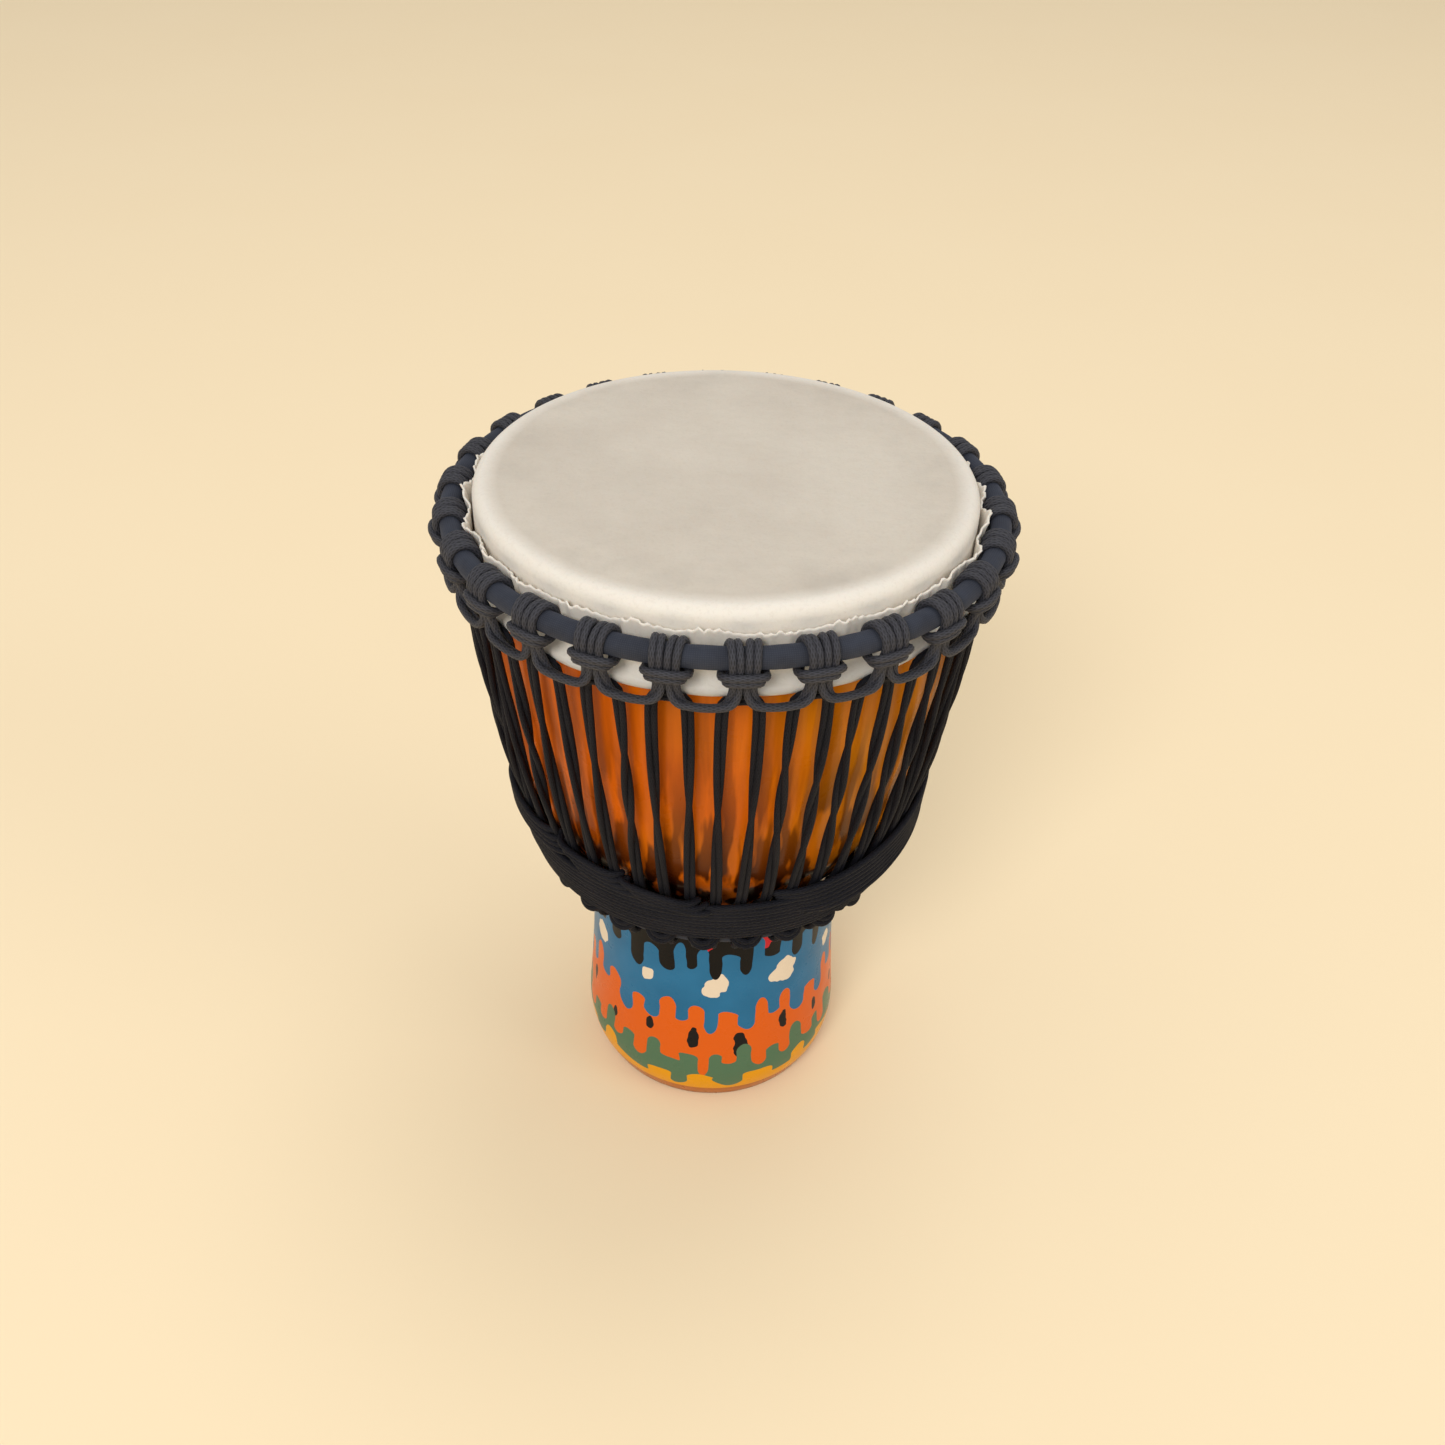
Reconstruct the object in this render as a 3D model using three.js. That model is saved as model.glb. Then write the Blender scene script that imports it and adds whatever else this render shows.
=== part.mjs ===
// Rope-tuned djembe: goblet shell, goat-skin head, two ring sets and four ropes.
// Millimetres, +Z up. The origin is the centre of the foot's base, on the floor.
import * as THREE from 'three';

// ---- Driving dimensions ----
const HEIGHT = 500;
const HEAD_RADIUS = 159;
const KNOTS = 26;
const SEGMENTS = 2 * KNOTS;
const GAP = 0.3;

const ROPE_RADIUS = 2.2;
const ROPE_SIDES = 5;
const ROPE_END_GAP = 0.6;

const SKIN_THICKNESS = 1.2;
const SKIN_CORNER = 9;
const HOOP_RADIUS = 3;
const HOOP_HEIGHT = 451;
const PLEAT_TOP = 489;

const CROWN_RING = { radius: 174, height: 478.5, sleeve: 6.8, core: 4.5 };
const BOTTOM_RING = { radius: 113, height: 204, sleeve: 6, core: 3.7 };
const SLEEVE_SLIT = 0.12;
const SLEEVE_CORNERS = 6;
const CORE_CORNERS = 5;

const WRAP_BOTTOM = { height: 219.5, inner: 130.4, outer: 135.4 };
const WRAP_TOP = { height: 262, inner: 141.2, outer: 146.2 };
const WRAP_BULGE = 1.2;

// Shell outline, radius and height, from the foot up. Smooth curves run through these.
const SHELL_OUTSIDE = [
  [89, 0], [96.5, 18], [98.5, 40], [94.5, 90], [93, 150], [94.5, 192], [100, 212],
  [121, 244], [133, 270], [141, 300], [152, 375], [157, 450], [157.2, 482],
];
const SHELL_INSIDE = [
  [140, 490], [143, 430], [136, 350], [124, 295], [95, 245], [71, 205], [66, 150],
  [70, 60], [80, 0],
];
const EDGE_INSIDE_RADIUS = 146;
const OUTSIDE_STEPS = 14;
const INSIDE_STEPS = 7;

// Rope routes, one hitch wide, as [along the ring, out from the ring's centre, up].
// The top hitch is given up to its middle, and its other half is the mirror of that.
const TOP_HITCH = [
  [-12, 1, -34.5], [-6.5, 0.5, -32], [-3.4, -1, -25], [-3.4, 0, -17],
  [-4.5, 10.5, -4], [-5.5, 8.5, 7.2], [-7, -1.9, 11], [-8.5, -10.5, 3.8], [-10, -8.6, -7.2],
  [-11.5, 6, -15], [0, 8.3, -16.2],
];
// Each bottom hitch is one turn round its ring.
const BOTTOM_HITCH = [
  [-4.5, 11, 27.5], [-2.9, 7.5, 22], [-3.1, 10.4, 3.7], [-2.4, 3.7, -10.4], [1, -9.8, -4.5],
  [2.9, -8.2, 7], [2.9, 1.5, 14.5], [2.9, 7.5, 22], [4.5, 11, 27.5],
];
// The middle of the loop from one hitch to the next, as [out, up].
const TOP_LOOP = [1, -35];
const BOTTOM_LOOP = [12.5, 30];

// The tension rope's turn past the neck of a hitch, to the middle of the turn.
const TOP_TURN = [[-10.6, -5, -42.5], [-9.8, -6.2, -38], [-6, -8, -35.5], [0, -8.4, -35]];
const BOTTOM_TURN = [[-7.4, 5, 30], [-8.8, 6, 24.4], [-7.4, 11.6, 19], [0, 14.2, 19]];
const LEG_BEND = { radius: 137.6, height: 261 };

// ---- Materials ----
const material = (color, roughness, metalness = 0) =>
  new THREE.MeshStandardMaterial({ color, roughness, metalness });
const lacquer = material(0xc7641e, 0.22);
const goatSkin = material(0xd8ccbd, 0.62);
const steel = material(0x8d9094, 0.38, 1);
const sleeveCloth = material(0x2c3038, 0.85);
const blackRope = material(0x17161a, 0.78);

// ---- Shape helpers ----
const point = (radius, height) => new THREE.Vector2(radius, height);

function turned(outline) {
  const geometry = new THREE.LatheGeometry(outline, SEGMENTS);
  geometry.rotateX(Math.PI / 2);
  return geometry;
}

function closed(outline) {
  return [...outline, outline[0].clone()];
}

function smooth(corners, steps) {
  const curve = new THREE.SplineCurve(corners.map(([radius, height]) => point(radius, height)));
  return curve.getPoints(steps);
}

function arc(centre, radius, from, to, steps) {
  return Array.from({ length: steps + 1 }, (_, i) => {
    const angle = from + ((to - from) * i) / steps;
    return point(centre.x + radius * Math.cos(angle), centre.y + radius * Math.sin(angle));
  });
}

// A sheet of even thickness along a line, as the outline of its section.
function sheetOutline(line, thickness) {
  const normals = line.map((_, i) => {
    const before = line[Math.max(i - 1, 0)];
    const after = line[Math.min(i + 1, line.length - 1)];
    const along = after.clone().sub(before).normalize();
    return point(along.y, -along.x).multiplyScalar(thickness / 2);
  });
  const right = line.map((place, i) => place.clone().add(normals[i]));
  const left = line.map((place, i) => place.clone().sub(normals[i]));
  return [...right, ...left.reverse()];
}

// A path that passes through each of its points, one extrusion step to a point.
class RopePath extends THREE.Curve {
  constructor(points) {
    super();
    this.points = points;
  }

  getPoint(t, target = new THREE.Vector3()) {
    const last = this.points.length - 1;
    const i = Math.min(Math.floor(t * last), last - 1);
    return target.lerpVectors(this.points[i], this.points[i + 1], t * last - i);
  }

  getPointAt(u, target) {
    return this.getPoint(u, target);
  }

  getTangentAt(u, target = new THREE.Vector3()) {
    const last = this.points.length - 1;
    const i = Math.round(u * last);
    const here = this.points[i];
    const ahead = this.points[Math.min(i + 1, last)].clone().sub(here).normalize();
    const behind = here.clone().sub(this.points[Math.max(i - 1, 0)]).normalize();
    return target.addVectors(ahead, behind).normalize();
  }
}

function rope(points) {
  const corners = Array.from({ length: ROPE_SIDES }, (_, i) => {
    const angle = (2 * Math.PI * i) / ROPE_SIDES;
    return point(ROPE_RADIUS * Math.cos(angle), ROPE_RADIUS * Math.sin(angle));
  });
  return new THREE.ExtrudeGeometry(new THREE.Shape(corners), {
    steps: points.length - 1,
    extrudePath: new RopePath(points),
    bevelEnabled: false,
  });
}

// ---- Places round the rings ----
const PITCH_ANGLE = (2 * Math.PI) / KNOTS;

// Top knot 0 sits just past the back, so that the top rope's ends meet at the back of the
// drum. Bottom knots sit midway between top knots.
const topKnotAngle = (knot) => Math.PI / 2 + (knot + 0.5) * PITCH_ANGLE;
const bottomKnotAngle = (knot) => Math.PI / 2 + (knot + 1) * PITCH_ANGLE;

function besideRing(ring, angle, [along, out, up]) {
  const radius = ring.radius + out;
  const turn = angle + along / radius;
  return new THREE.Vector3(radius * Math.cos(turn), radius * Math.sin(turn), ring.height + up);
}

const mirrored = (half) => half.slice(0, -1).reverse().map(([along, out, up]) => [-along, out, up]);

// ---- Shell ----
function shell() {
  const outside = smooth(SHELL_OUTSIDE, OUTSIDE_STEPS);
  const top = outside.at(-1);
  const edgeRadius = HEIGHT - SKIN_THICKNESS - GAP - top.y;
  const edge = arc(point(top.x - edgeRadius, top.y), edgeRadius, Math.PI / 6, Math.PI / 2, 2);
  const inside = smooth(SHELL_INSIDE, INSIDE_STEPS);
  return turned(closed([...outside, ...edge, point(EDGE_INSIDE_RADIUS - 4, edge.at(-1).y), ...inside]));
}

// ---- Head: skin, folded under the flesh hoop and up behind the crown ring ----
const SKIN_MIDDLE = HEAD_RADIUS - SKIN_THICKNESS / 2;
const FOLD_RADIUS = HOOP_RADIUS + 2 * GAP + SKIN_THICKNESS / 2;
const HOOP_CENTRE = point(SKIN_MIDDLE + FOLD_RADIUS, HOOP_HEIGHT);
const PLEAT_GAP = GAP + SKIN_THICKNESS / 2;

function skin() {
  const face = HEIGHT - SKIN_THICKNESS / 2;
  const corner = point(SKIN_MIDDLE - SKIN_CORNER, face - SKIN_CORNER);
  const line = [
    point(0, face),
    ...arc(corner, SKIN_CORNER, Math.PI / 2, 0, 3),
    ...arc(HOOP_CENTRE, FOLD_RADIUS, -Math.PI, Math.PI / 4, 4),
    point(HEAD_RADIUS + PLEAT_GAP + 1.6, HOOP_HEIGHT + 8.5),
    point(HEAD_RADIUS + PLEAT_GAP, HOOP_HEIGHT + 15),
    point(HEAD_RADIUS + PLEAT_GAP, PLEAT_TOP - 4),
    point(HEAD_RADIUS + PLEAT_GAP + 1, PLEAT_TOP),
  ];
  return turned(sheetOutline(line, SKIN_THICKNESS));
}

function hoop() {
  const section = arc(HOOP_CENTRE, HOOP_RADIUS, -Math.PI, Math.PI, CORE_CORNERS);
  return turned(section);
}

// ---- Ring sets: a steel ring in a cloth sleeve whose edges meet on the drum's side ----
function ringCore(ring) {
  return turned(arc(point(ring.radius, ring.height), ring.core, -Math.PI, Math.PI, CORE_CORNERS));
}

function ringSleeve(ring) {
  const centre = point(ring.radius, ring.height);
  const half = Math.PI - SLEEVE_SLIT;
  const outer = arc(centre, ring.sleeve, -half, half, SLEEVE_CORNERS);
  const inner = arc(centre, ring.core + 2 * GAP, half, -half, CORE_CORNERS);
  return turned(closed([...outer, ...inner]));
}

// ---- Ropes ----
// One turned ring with the outer shape of the surplus rope's winding.
function winding() {
  const middle = (WRAP_BOTTOM.height + WRAP_TOP.height) / 2;
  return turned(closed([
    point(WRAP_BOTTOM.inner, WRAP_BOTTOM.height),
    point(WRAP_BOTTOM.outer, WRAP_BOTTOM.height),
    point((WRAP_BOTTOM.outer + WRAP_TOP.outer) / 2 + WRAP_BULGE, middle),
    point(WRAP_TOP.outer, WRAP_TOP.height),
    point(WRAP_TOP.inner, WRAP_TOP.height),
  ]));
}

// A rope hitched to a ring at every knot, with a loop from each hitch to the next.
function cradleRope(ring, knotAngle, hitch, [out, up]) {
  const halfPitch = PITCH_ANGLE / 2;
  const points = [];
  for (let knot = 0; knot < KNOTS; knot += 1) {
    const angle = knotAngle(knot);
    points.push(besideRing(ring, angle - halfPitch, [knot === 0 ? ROPE_END_GAP : 0, out, up]));
    for (const place of hitch) {
      points.push(besideRing(ring, angle, place));
    }
  }
  points.push(besideRing(ring, knotAngle(KNOTS - 1) + halfPitch, [-ROPE_END_GAP, out, up]));
  return rope(points);
}

// The rope that tightens the head: down and up between the two rings, knot by knot.
// Its top turns pass behind the necks of the crown ring's hitches, above the loops, and its
// bottom turns in front of the bottom ring's.
function tensionRope() {
  const points = [];
  const bend = (angle) => new THREE.Vector3(
    LEG_BEND.radius * Math.cos(angle),
    LEG_BEND.radius * Math.sin(angle),
    LEG_BEND.height,
  );
  const quarter = PITCH_ANGLE / 4;
  const wholeTopTurn = [...TOP_TURN, ...mirrored(TOP_TURN)];
  const wholeBottomTurn = [...BOTTOM_TURN, ...mirrored(BOTTOM_TURN)];
  for (let knot = 0; knot < KNOTS; knot += 1) {
    const angle = topKnotAngle(knot);
    const top = wholeTopTurn.map((place) => besideRing(CROWN_RING, angle, place));
    const bottom = wholeBottomTurn
      .map((place) => besideRing(BOTTOM_RING, bottomKnotAngle(knot), place));
    points.push(bend(angle - quarter), ...top, bend(angle + quarter));
    if (knot < KNOTS - 1) {
      points.push(...bottom);
    }
  }
  return rope(points);
}

// ---- Assembly ----
const djembe = new THREE.Group();

function add(name, geometry, look) {
  const mesh = new THREE.Mesh(geometry, look);
  mesh.name = name;
  djembe.add(mesh);
}

add('shell', shell(), lacquer);
add('skin', skin(), goatSkin);
add('flesh_hoop', hoop(), steel);
add('crown_ring_core', ringCore(CROWN_RING), steel);
add('crown_ring_sleeve', ringSleeve(CROWN_RING), sleeveCloth);
add('bottom_ring_core', ringCore(BOTTOM_RING), steel);
add('bottom_ring_sleeve', ringSleeve(BOTTOM_RING), sleeveCloth);
const wholeTopHitch = [...TOP_HITCH, ...mirrored(TOP_HITCH)];
add('top_cradle_rope', cradleRope(CROWN_RING, topKnotAngle, wholeTopHitch, TOP_LOOP), blackRope);
const bottomCradle = cradleRope(BOTTOM_RING, bottomKnotAngle, BOTTOM_HITCH, BOTTOM_LOOP);
add('bottom_cradle_rope', bottomCradle, blackRope);
add('tension_rope', tensionRope(), blackRope);
add('wrap_rope', winding(), blackRope);

export default djembe;
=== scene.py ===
"""A rope-tuned djembe: lacquered goblet shell, goat-skin head, two ring sets and black braided ropes.

Metres, +Z up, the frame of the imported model. Lengths written in millimetres are multiplied by MM.
"""
import math
import random

import bpy
import numpy as np
from mathutils import Matrix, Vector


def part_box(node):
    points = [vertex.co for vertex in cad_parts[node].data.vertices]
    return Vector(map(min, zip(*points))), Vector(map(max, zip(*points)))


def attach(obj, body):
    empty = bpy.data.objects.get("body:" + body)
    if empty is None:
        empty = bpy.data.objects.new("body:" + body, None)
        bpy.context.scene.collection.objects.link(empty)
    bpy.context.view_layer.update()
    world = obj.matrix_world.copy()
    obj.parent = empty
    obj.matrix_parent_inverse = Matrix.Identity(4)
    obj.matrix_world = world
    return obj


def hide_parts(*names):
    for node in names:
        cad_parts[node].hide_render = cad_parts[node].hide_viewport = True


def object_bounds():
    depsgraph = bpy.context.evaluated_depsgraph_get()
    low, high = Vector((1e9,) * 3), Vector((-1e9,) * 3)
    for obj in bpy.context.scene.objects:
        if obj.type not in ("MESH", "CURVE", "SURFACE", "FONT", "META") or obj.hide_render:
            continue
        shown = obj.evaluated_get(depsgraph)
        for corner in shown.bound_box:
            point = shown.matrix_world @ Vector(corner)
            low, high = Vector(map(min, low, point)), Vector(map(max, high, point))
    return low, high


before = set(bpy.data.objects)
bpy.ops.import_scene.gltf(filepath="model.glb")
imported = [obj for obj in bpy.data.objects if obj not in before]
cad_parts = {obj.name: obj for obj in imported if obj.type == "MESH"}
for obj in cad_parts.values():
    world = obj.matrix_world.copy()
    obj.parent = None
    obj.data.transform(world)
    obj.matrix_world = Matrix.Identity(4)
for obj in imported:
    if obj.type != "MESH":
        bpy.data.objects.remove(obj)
cad_box = [list(corner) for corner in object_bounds()]

MM = 0.001
SEED = 26
rng = random.Random(SEED)
TURN = 2 * math.pi

# ---- Sizes, from the frame and from the drum's few driving dimensions ----
KNOTS = 26
PITCH = TURN / KNOTS
ROPE_RADIUS = 2.25 * MM
LEG_ROPE_RADIUS = 1.95 * MM
WRAP_ROPE_RADIUS = 2.15 * MM
STRAND_SPACING = 1.8 * MM
SKIN_THICKNESS = 1.2 * MM

HEIGHT = cad_box[1][2]

# Heights on the shell in millimetres, as its paint is marked out.
PAINT_TOP = 205.0
BLACK_DRIPS, ORANGE_DRIPS, GREEN_DRIPS, YELLOW_DRIPS = 153.0, 95.0, 50.0, 29.0
FOOT_RIM = 14.0
# Heights over which the bowl's painted shade of the legs fades from strong to faint.
PAINTED_SHADE_LOW, PAINTED_SHADE_HIGH = 262.0, 400.0
FOOT_RADIUS = 95.0  # nominal, in millimetres: turns an angle into a width on the foot


def ring_place(core):
    """(radius, height) of a ring's centre line, from its steel core."""
    low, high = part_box(core)
    core_radius = (high.z - low.z) / 2
    return high.x - core_radius, (low.z + high.z) / 2


CROWN_RADIUS, CROWN_HEIGHT = ring_place("crown_ring_core")
BOTTOM_RADIUS, BOTTOM_HEIGHT = ring_place("bottom_ring_core")
HOOP_RADIUS, HOOP_HEIGHT = ring_place("flesh_hoop")
HOOP_BAR = 3 * MM
CROWN_BAR, CROWN_SLEEVE = 4.5 * MM, 6.8 * MM
BOTTOM_BAR, BOTTOM_SLEEVE = 3.7 * MM, 6 * MM
SLEEVE_WALL = 1.6 * MM
SLEEVE_SLIT = 0.12  # half of the sleeve's open seam, as an angle round its section
SLEEVE_CREASE = 0.02
HEAD_RADIUS = 159 * MM


# ---- Materials ----
class Look:
    """A material under construction: adds nodes and links them in one call."""

    def __init__(self, name, **shader_values):
        self.material = bpy.data.materials.new(name)
        self.material.use_nodes = True
        self.nodes = self.material.node_tree.nodes
        self.links = self.material.node_tree.links
        self.shader = self.nodes["Principled BSDF"]
        self.set(self.shader, **shader_values)

    def set(self, node, **values):
        for name, value in values.items():
            self.put(node.inputs[name.replace("_", " ")], value)

    def put(self, socket, value):
        if isinstance(value, bpy.types.NodeSocket):
            self.links.new(value, socket)
        else:
            socket.default_value = value

    def node(self, kind, settings=None, **inputs):
        node = self.nodes.new("ShaderNode" + kind)
        for name, value in (settings or {}).items():
            setattr(node, name, value)
        self.set(node, **inputs)
        return node

    def maths(self, operation, *values):
        node = self.node("Math", {"operation": operation})
        for socket, value in zip(node.inputs, values):
            self.put(socket, value)
        return node.outputs[0]

    def add(self, *values):
        return self.maths("ADD", *values)

    def times(self, *values):
        return self.maths("MULTIPLY", *values)

    def object_coordinates(self):
        return self.node("TexCoord").outputs["Object"]

    def uv(self):
        return self.node("UVMap", {"uv_map": "UVMap"}).outputs["UV"]

    def scaled(self, vector, scale):
        node = self.node("VectorMath", {"operation": "MULTIPLY"})
        self.put(node.inputs[0], vector)
        self.put(node.inputs[1], scale)
        return node.outputs[0]

    def noise(self, vector, scale, detail=3.0, roughness=0.5):
        node = self.node("TexNoise", Scale=scale, Detail=detail, Roughness=roughness)
        self.put(node.inputs["Vector"], vector)
        return node.outputs["Fac"]

    def mix(self, factor, first, second):
        node = self.node("Mix", {"data_type": "RGBA"})
        self.put(node.inputs["Factor"], factor)
        self.put(node.inputs[6], first)
        self.put(node.inputs[7], second)
        return node.outputs[2]

    def ramp(self, factor, low, high, start=0.0, end=1.0):
        """Factor brought from the range low to high into the range start to end, and held there."""
        node = self.node("MapRange", From_Min=low, From_Max=high, To_Min=start, To_Max=end)
        self.put(node.inputs["Value"], factor)
        return node.outputs[0]

    def bump(self, height, distance, strength=1.0):
        node = self.node("Bump", Strength=strength, Distance=distance)
        self.put(node.inputs["Height"], height)
        self.put(self.shader.inputs["Normal"], node.outputs[0])


def colour(red, green, blue):
    """Linear colour from 0 to 255 display values."""
    def linear(value):
        value /= 255
        return value / 12.92 if value <= 0.04045 else ((value + 0.055) / 1.055) ** 2.4
    return (linear(red), linear(green), linear(blue), 1.0)


def around(look):
    """Angle from the front, unit direction from the axis, and height in millimetres, on the shell."""
    parts = look.node("SeparateXYZ")
    look.put(parts.inputs[0], look.object_coordinates())
    angle = look.maths("ARCTAN2", parts.outputs["X"], look.times(parts.outputs["Y"], -1.0))
    flat = look.node("CombineXYZ")
    look.put(flat.inputs["X"], parts.outputs["X"])
    look.put(flat.inputs["Y"], parts.outputs["Y"])
    unit = look.node("VectorMath", {"operation": "NORMALIZE"})
    look.put(unit.inputs[0], flat.outputs[0])
    return angle, unit.outputs[0], look.times(parts.outputs["Z"], 1 / MM)


def drip_edge(look, angle, unit, fingers, middle, reach, phase, stride):
    """Height, in millimetres, of a painted edge that runs round the foot in rounded fingers.

    The edge wanders about the height middle. Each finger has its own length near reach: stride
    picks it, and it comes round to the same after a turn.
    """
    shift = look.node("VectorMath", {"operation": "ADD"})
    look.put(shift.inputs[0], unit)
    shift.inputs[1].default_value = (phase, 2 * phase, 0)
    wander = look.add(look.noise(shift.outputs[0], 2.2, 1.0), -0.5)
    ripple = look.add(look.noise(look.object_coordinates(), 60.0, 1.0), -0.5)
    sway = look.add(look.times(wander, 7.0), look.times(ripple, 1.0))
    turn = look.add(look.times(angle, float(fingers)), look.add(sway, phase))
    cell = look.maths("FLOOR", look.times(turn, 1 / math.pi))
    own = look.maths("SINE", look.times(cell, math.pi * stride / fingers))
    length = look.add(0.9, look.times(own, 0.55))
    wave = look.maths("SINE", turn)
    # Straight sides with round ends: half of the reach at once, the rest along a curve.
    end = look.add(0.45, look.times(look.maths("SQRT", look.maths("ABSOLUTE", wave)), 0.55))
    finger = look.times(look.maths("SIGN", wave), end)
    drift = look.add(middle, look.times(wander, 22.0))
    return look.add(drift, look.times(look.times(finger, length), reach))


def blobs(look, angle, height, count, middle, wide, tall, phase):
    """1 inside each of count uneven blobs set round the foot, 0 elsewhere.

    The blobs stand about the height middle, and wide and tall are half of their sizes.
    """
    turn = look.add(look.times(angle, count / TURN), phase)
    cell = look.maths("FLOOR", turn)
    own = look.times(cell, TURN * 3 / count)
    size = look.add(0.9, look.times(look.maths("SINE", look.add(own, phase)), 0.35))
    rough = look.times(look.add(look.noise(look.object_coordinates(), 95.0, 1.0), -0.5), 1.5)
    across = look.times(look.add(look.maths("FRACT", turn), -0.5), TURN * FOOT_RADIUS / count)
    up = look.add(height, look.add(-middle, look.times(look.maths("SINE", look.times(own, 2.0)), 7.0)))
    x = look.maths("DIVIDE", across, look.times(size, wide))
    y = look.maths("DIVIDE", up, look.times(size, tall))
    reach = look.maths("SQRT", look.add(look.times(x, x), look.times(y, y)))
    return look.maths("LESS_THAN", reach, look.add(1.0, rough))


def stained_wood_and_shade(look, angle, height):
    """Colour of the bowl: uneven amber with grain running up it, and painted shade: dark streaks from
    the waist that stand for the legs' shadows and dark reflections.
    """
    place = look.object_coordinates()
    cloud = look.noise(place, 7.0, 2.0)
    grain = look.noise(look.scaled(place, (190.0, 190.0, 9.0)), 1.0, 4.0, 0.6)
    side = look.add(look.maths("SINE", angle), look.times(look.add(cloud, -0.5), 3.0))
    amber = look.mix(look.ramp(side, -0.3, 0.8), colour(220, 102, 12), colour(208, 124, 8))
    amber = look.mix(look.ramp(grain, 0.35, 0.75, 0.0, 0.35), amber, colour(158, 66, 10))
    # Painted shade: dark streaks for the legs' shadows and dark reflections on the bowl, strongest at
    # the waist.
    leg_shade_streaks = look.noise(look.scaled(place, (95.0, 95.0, 6.0)), 1.0, 2.0, 0.45)
    low = look.ramp(height, PAINTED_SHADE_LOW, PAINTED_SHADE_HIGH, 1.0, 0.15)
    painted_leg_shade = look.times(look.ramp(leg_shade_streaks, 0.47, 0.55), low)
    return look.mix(painted_leg_shade, amber, colour(44, 14, 3))


def foot_paint(look, angle, unit, height):
    """Colour of the foot: black drips from the waist, then orange, green and yellow over blue."""
    def above(edge):
        return look.maths("GREATER_THAN", height, edge)

    def below(edge):
        return look.maths("LESS_THAN", height, edge)

    place = look.object_coordinates()
    paint = look.mix(look.noise(place, 30.0, 2.0), colour(28, 92, 130), colour(46, 116, 158))
    cream = blobs(look, angle, height, 11, 128.0, 9.5, 10.5, 0.35)
    paint = look.mix(cream, paint, colour(226, 208, 184))
    black = above(drip_edge(look, angle, unit, 27, BLACK_DRIPS, 15.0, 1.7, 19))
    paint = look.mix(black, paint, colour(12, 11, 12))
    red = blobs(look, angle, height, 14, 172.0, 5.5, 6.5, 0.45)
    paint = look.mix(look.times(black, red), paint, colour(196, 34, 44))
    orange = below(drip_edge(look, angle, unit, 25, ORANGE_DRIPS, 12.5, 3.1, 17))
    paint = look.mix(orange, paint, colour(216, 94, 20))
    ovals = blobs(look, angle, height, 17, 71.0, 4.4, 9.8, 0.7)
    paint = look.mix(look.times(orange, ovals), paint, colour(22, 20, 20))
    green = below(drip_edge(look, angle, unit, 26, GREEN_DRIPS, 10.0, 5.3, 15))
    paint = look.mix(green, paint, colour(82, 112, 84))
    yellow = below(drip_edge(look, angle, unit, 15, YELLOW_DRIPS, 7.5, 7.9, 11))
    paint = look.mix(yellow, paint, colour(224, 152, 10))
    return look.mix(below(FOOT_RIM), paint, colour(176, 98, 10))


def lacquer_look():
    look = Look("shell_lacquer", Specular_IOR_Level=0.08, Coat_Weight=0.12, Coat_Roughness=0.06,
                Coat_IOR=1.45)
    angle, unit, height = around(look)
    place = look.object_coordinates()
    painted = look.maths("LESS_THAN", height, PAINT_TOP)
    bowl, foot = stained_wood_and_shade(look, angle, height), foot_paint(look, angle, unit, height)
    worn = look.noise(place, 55.0, 4.0)
    look.set(look.shader, Base_Color=look.mix(painted, bowl, foot),
             Roughness=look.ramp(worn, 0.3, 0.7, 0.24, 0.38))
    look.bump(look.noise(place, 18.0, 1.0), 0.4 * MM, 0.12)
    return look.material


def bare_wood_look():
    look = Look("shell_inside_wood", Roughness=0.72)
    place = look.object_coordinates()
    grain = look.noise(look.scaled(place, (160.0, 160.0, 12.0)), 1.0, 5.0, 0.65)
    look.set(look.shader, Base_Color=look.mix(grain, colour(104, 62, 32), colour(156, 104, 62)))
    look.bump(grain, 0.5 * MM, 0.6)
    return look.material


def skin_look():
    look = Look("goat_skin", Roughness=0.58, Subsurface_Weight=0.12, Subsurface_Scale=0.003)
    look.shader.inputs["Subsurface Radius"].default_value = (1.0, 0.6, 0.4)
    place = look.object_coordinates()
    stains = look.noise(place, 9.0, 4.0, 0.55)
    pores = look.noise(place, 420.0, 3.0, 0.7)
    fibres = look.noise(look.scaled(place, (90.0, 150.0, 90.0)), 1.0, 4.0, 0.6)
    base = look.mix(look.ramp(stains, 0.38, 0.66), colour(207, 197, 182), colour(196, 185, 170))
    base = look.mix(look.ramp(fibres, 0.4, 0.8, 0.0, 0.2), base, colour(186, 174, 158))
    # The stretched edge and the folded skirt are paler than the face: partly the skin's own tone
    # there, partly painted light where the rolled edge catches the front light.
    parts = look.node("SeparateXYZ")
    look.put(parts.inputs[0], place)
    radius = look.maths("SQRT", look.add(look.maths("POWER", parts.outputs["X"], 2.0),
                                         look.maths("POWER", parts.outputs["Y"], 2.0)))
    edge = look.ramp(look.add(radius, look.times(stains, 0.012)), 0.149, 0.160)
    base = look.mix(edge, base, colour(228, 220, 208))
    # Handling has greyed the face in patches near its edge.
    near = look.times(look.ramp(radius, 0.10, 0.135), look.ramp(radius, 0.156, 0.142))
    smudges = look.ramp(look.noise(place, 22.0, 4.0, 0.6), 0.5, 0.75, 0.0, 0.45)
    base = look.mix(look.times(near, smudges), base, colour(172, 164, 152))
    base = look.mix(look.ramp(pores, 0.5, 0.8, 0.0, 0.18), base, colour(160, 142, 122))
    look.set(look.shader, Base_Color=base, Roughness=look.ramp(fibres, 0.2, 0.8, 0.5, 0.68))
    look.bump(look.add(pores, look.times(fibres, 1.5)), 0.25 * MM, 0.5)
    return look.material


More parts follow.
